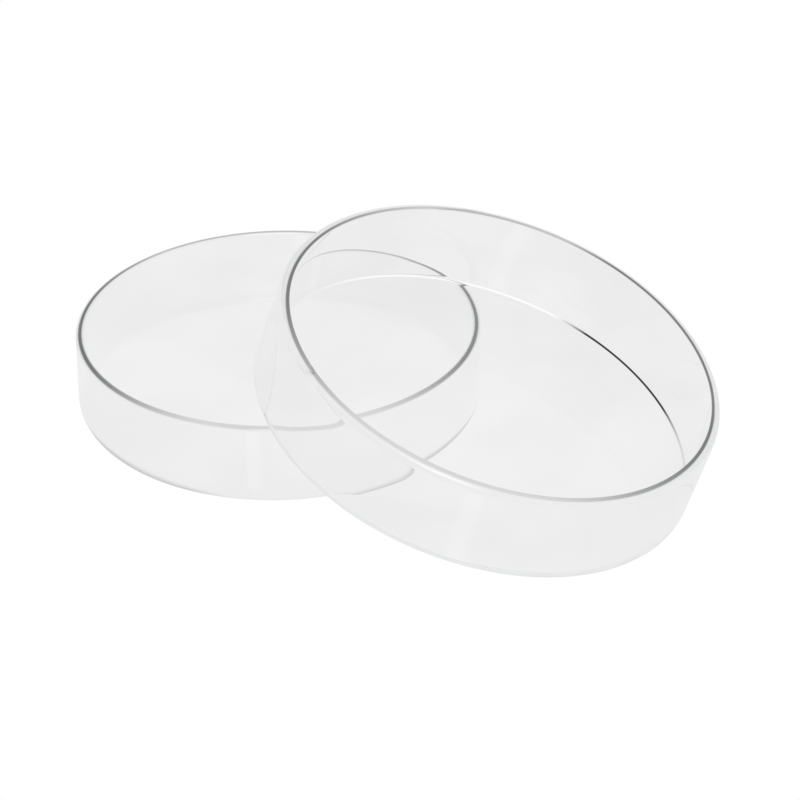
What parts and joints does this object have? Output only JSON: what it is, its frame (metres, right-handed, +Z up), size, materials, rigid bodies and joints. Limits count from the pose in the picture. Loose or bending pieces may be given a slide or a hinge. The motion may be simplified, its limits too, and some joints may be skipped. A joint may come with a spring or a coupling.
{
  "type": "glass petri dish with lid",
  "caption": "Shallow round glass dish with an upright wall and rounded rim, and a wider matching lid that leans open side up on the dish's rim and lifts off.",
  "frame": {"origin": "centre of the dish's underside, on the table", "axes": "+Z up along the dish's axis; the lid leans down towards +X and slightly towards -Y"},
  "size_m": [0.1408, 0.1334, 0.0518],
  "materials": {
    "dish_glass": "clear polished borosilicate",
    "lid_glass": "clear polished borosilicate"
  },
  "bodies": {
    "dish": {"dish": "dish_glass"},
    "lid": {"lid": "lid_glass"}
  },
  "joints": [
    {"name": "lid_lift", "type": "slide", "parent": "dish", "child": "lid", "axis": [0, 0, 1], "range_m": [0, 0.045]}
  ]
}
